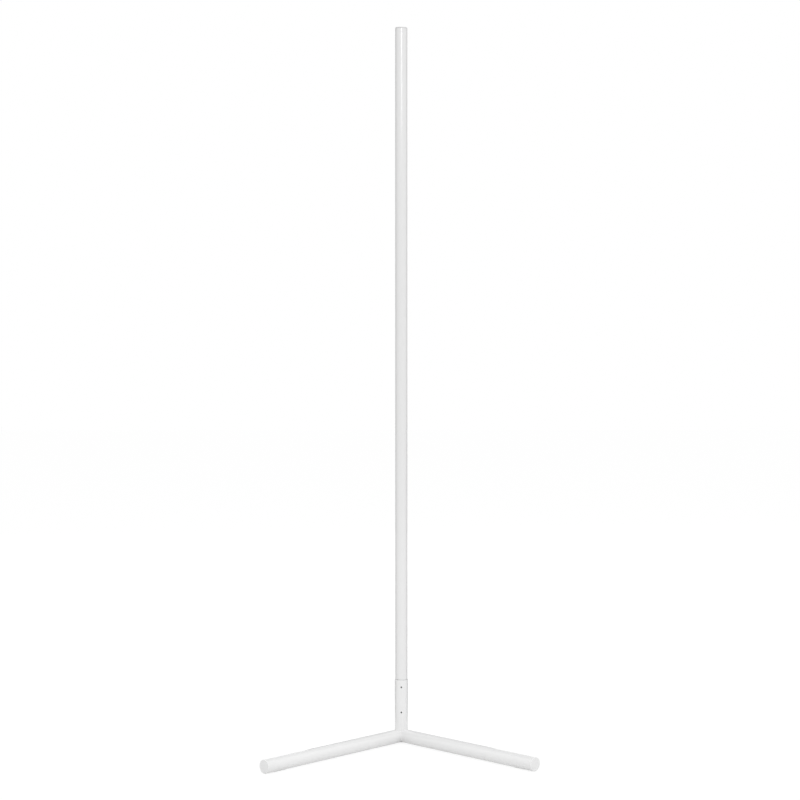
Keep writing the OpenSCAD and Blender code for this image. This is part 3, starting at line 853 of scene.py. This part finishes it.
# %% Copper pads and solder
PAD = Vector((2.2, 0.04, 2)) * MM
PAD_X, PAD_INSET = 2.8 * MM, 1.5 * MM
FILLET = Vector((0.4, 0.35, 1)) * MM
bm = bmesh.new()
for side in (-1, 1):
    for z in (strip_low.z + PAD_INSET, strip_low.z + CUT_PITCH - PAD_INSET):
        block(bm, PAD, (side * PAD_X, strip_face + PAD.y / 2, z))
pads = as_object(bm, "strip_copper_pads", copper)
add_piece(in_a_row(pads, CUTS, CUT_PITCH), "light", "circuit_board")

bm = bmesh.new()
for side in (-1, 1):
    for step in (-1, 0, 1):
        centre = first_emitter + Vector((side * (EMITTER.x + FILLET.x) / 2, FILLET.y / 2,
                                         step * EMITTER.z / 3))
        block(bm, FILLET, centre)
fillets = as_object(bm, "emitter_solder_fillets", solder)
add_piece(in_a_row(fillets, EMITTERS, EMITTER_PITCH), "light", "solder")

# %% The strip itself
# Its solid is shown as it is, so it only gets its finish.
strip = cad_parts["light_strip"].data
strip.materials.clear()
strip.materials.append(solder_mask)
print("light_strip wears", solder_mask.name)

# %% [markdown]
# ## Top cap, glides and hidden fittings
# The solid model already holds the true shapes of the top cap, the glides and the
# fittings inside the tube, so they aren't modelled again. Their triangles are loose,
# though, and would be shaded flat. In a copy the triangles are joined, so it shades
# round. Cast and moulded pieces also get the small round that a mould leaves.

# %% Top cap, glides and hidden fittings
FLAT = math.radians(0.5)
CAST_EDGE = 0.25 * MM
BLOCK_EDGE = 0.2 * MM


def joined_copy(node, body, slot, material, edge):
    bm = bmesh.new()
    bm.from_mesh(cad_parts[node].data)
    bmesh.ops.remove_doubles(bm, verts=bm.verts, dist=MERGE)
    if edge:
        bmesh.ops.dissolve_limit(bm, angle_limit=FLAT, verts=bm.verts, edges=bm.edges)
        soften(bm, sharp_edges(bm), edge, segments=1)
    add_piece(as_object(bm, node + "_part", material), body, slot, node)


for node, body, slot, material, edge in (
        # the top cap wears white ABS greyed as painted shade
        ("top_cap", "light", "moulded_cap", top_cap_painted_shade, 0),
        ("left_glide", "base", "glide_pad", glide_film, 0),
        ("right_glide", "base", "glide_pad", glide_film, 0),
        ("heel_glide", "base", "glide_pad", glide_film, 0),
        ("spigot", "light", "cast_aluminium", cast_aluminium, CAST_EDGE),
        ("spigot_screws", "light", "zinc_steel", zinc, 0),
        ("cord_clamp", "light", "white_nylon", nylon, CAST_EDGE),
        ("cord_clamp_screws", "light", "zinc_steel", zinc, 0),
        ("terminal_block", "light", "white_nylon", nylon, BLOCK_EDGE),
        ("terminal_screws", "light", "zinc_steel", zinc, 0),
        ("positive_lead", "light", "red_insulation", red_pvc, 0),
        ("negative_lead", "light", "black_insulation", black_pvc, 0),
        ("solder_joints", "light", "solder", solder, 0)):
    joined_copy(node, body, slot, material, edge)

# %% [markdown]
# ## Floor and world
# The lamp stands on a white studio floor. To a camera the floor is part lit surface
# and part even white, so that it meets the background without a line and still
# keeps the lamp's soft shadow. To the light that bounces off it, it is plain pale
# paint. The even light of the world is what fills a white studio, and it is a little
# lower than the white that a camera or a reflection sees.

# %% Seen or lit
def seen_directly(tree):
    """1 where a camera, a reflection or a clear material looks, and 0 for plain light."""
    path = add_node(tree, "ShaderNodeLightPath")
    seen = path.outputs["Is Camera Ray"]
    for kind in ("Is Glossy Ray", "Is Transmission Ray"):
        seen = add_node(tree, "ShaderNodeMath", {"operation": "MAXIMUM"},
                        {0: seen, 1: path.outputs[kind]}).outputs[0]
    return seen


# %% Floor
FLOOR_SIZE = 30
FLOOR_GLOW = 0.84
FLOOR_SHADE = 0.2
bm = bmesh.new()
bmesh.ops.create_grid(bm, x_segments=1, y_segments=1, size=FLOOR_SIZE / 2)
floor_paint = bpy.data.materials.new("white_studio_floor")
floor_paint.use_nodes = True
tree = floor_paint.node_tree
tree.nodes.remove(tree.nodes["Principled BSDF"])
plain = add_node(tree, "ShaderNodeBsdfDiffuse", {"Color": linear("#E7E7E7")})
lit = add_node(tree, "ShaderNodeBsdfDiffuse", {"Color": [FLOOR_SHADE] * 3 + [1]})
glow = add_node(tree, "ShaderNodeEmission", {"Color": [1, 1, 1, 1], "Strength": FLOOR_GLOW})
both = add_node(tree, "ShaderNodeAddShader", {}, {0: lit.outputs[0], 1: glow.outputs[0]})
choice = add_node(tree, "ShaderNodeMixShader", {},
                  {0: seen_directly(tree), 1: plain.outputs[0], 2: both.outputs[0]})
tree.links.new(choice.outputs[0], tree.nodes["Material Output"].inputs["Surface"])
as_object(bm, "studio_floor", floor_paint)
print("floor: %d m wide" % FLOOR_SIZE)

# %% World
WORLD_LIGHT = 0.765
world = bpy.data.worlds.new("white_studio")
bpy.context.scene.world = world
world.use_nodes = True
tree = world.node_tree
level = add_node(tree, "ShaderNodeMapRange", {"To Min": WORLD_LIGHT, "To Max": 1.0},
                 {"Value": seen_directly(tree)})
tree.links.new(level.outputs["Result"], tree.nodes["Background"].inputs["Strength"])
tree.nodes["Background"].inputs["Color"].default_value = (1, 1, 1, 1)
print("world light: %.3f, seen as 1" % WORLD_LIGHT)

# %% [markdown]
# ## Softboxes and black cards
# The narrow bright line on the tube is the mirror image of a softbox that hangs high
# behind the camera. The tube squeezes its width to two millimetres. The line ends where
# the tube starts to reflect what lies below the box. It has a bright and a softer
# part, so a dimmer box hangs under the first.
# The other boxes only fill, so reflections don't see them. One stands at the rear, so
# that the cover isn't grey, and the smallest stands low in front of the heel, because
# the photograph gets lighter towards the base.
# White on white has no outline. A photographer stands black cards round the object:
# its edges reflect them and turn grey. Here the cards stand close behind the lamp, on
# both sides, so that even the low socket has two grey edges. The left edge is the
# darker one, so its card is darker and starts further forward. Only reflections see
# the cards.

# %% Softboxes
def softbox(name, place, aim, width, height, radiance, glossy):
    """An area light that faces a point. Its power follows from its radiance."""
    light = bpy.data.lights.new(name, "AREA")
    light.shape, light.size, light.size_y = "RECTANGLE", width, height
    light.energy = radiance * math.pi * width * height
    lamp = link(name, light)
    turn = (Vector(aim) - Vector(place)).to_track_quat("-Z", "Y").to_matrix().to_4x4()
    lamp.matrix_world = Matrix.Translation(place) @ turn
    lamp.visible_glossy = glossy
    lamp.visible_camera = False
    print("%s: %.1f W" % (name, light.energy))


softbox("upper_key_softbox", (0.4, -5.0, 2.58), (0, 0, 1.45), 1.4, 0.65, 8.0, True)
softbox("lower_key_softbox", (0.4, -5.0, 2.12), (0, 0, 1.4), 1.4, 0.3, 6.0, True)
softbox("side_softbox", (4.2, -3.0, 1.0), (0, 0, 0.2), 2.5, 1.9, 0.5, False)
softbox("top_softbox", (0.5, -1.0, 4.5), (0, 0, 0), 4.0, 4.0, 0.66, False)
softbox("rear_softbox", (-0.6, 4.0, 1.7), (0, 0, 0.8), 2.5, 2.5, 1.2, False)
softbox("heel_softbox", (0, -0.45, 0.3), (0, 0, 0.12), 0.3, 0.2, 0.66, False)

# %% Black cards
CARD_X = 0.2
CARD_DEPTH = 5
CARD_HEIGHT = 3
LEFT_CARD_START, RIGHT_CARD_START = -0.017, 0.017


def black_card(name, shade, start, end):
    """An upright card between two points of the floor."""
    bm = bmesh.new()
    feet = [bm.verts.new((*point, 0)) for point in (start, end)]
    made = bmesh.ops.extrude_edge_only(bm, edges=[bm.edges.new(feet)])
    raised = [v for v in made["geom"] if isinstance(v, bmesh.types.BMVert)]
    bmesh.ops.translate(bm, vec=(0, 0, CARD_HEIGHT), verts=raised)
    paint = bpy.data.materials.new(name)
    paint.use_nodes = True
    tree = paint.node_tree
    tree.nodes.remove(tree.nodes["Principled BSDF"])
    even = add_node(tree, "ShaderNodeEmission", {"Color": [shade] * 3 + [1]})
    tree.links.new(even.outputs[0], tree.nodes["Material Output"].inputs["Surface"])
    card = as_object(bm, name, paint)
    card.visible_camera = card.visible_diffuse = card.visible_transmission = False
    card.visible_shadow = False
    print("%s: shade %.2f" % (name, shade))


black_card("left_black_card", 0.02, (-CARD_X, LEFT_CARD_START), (-CARD_X, CARD_DEPTH))
black_card("right_black_card", 0.1, (CARD_X, RIGHT_CARD_START), (CARD_X, CARD_DEPTH))
black_card("rear_grey_card", 0.4, (-CARD_X, CARD_DEPTH), (CARD_X, CARD_DEPTH))
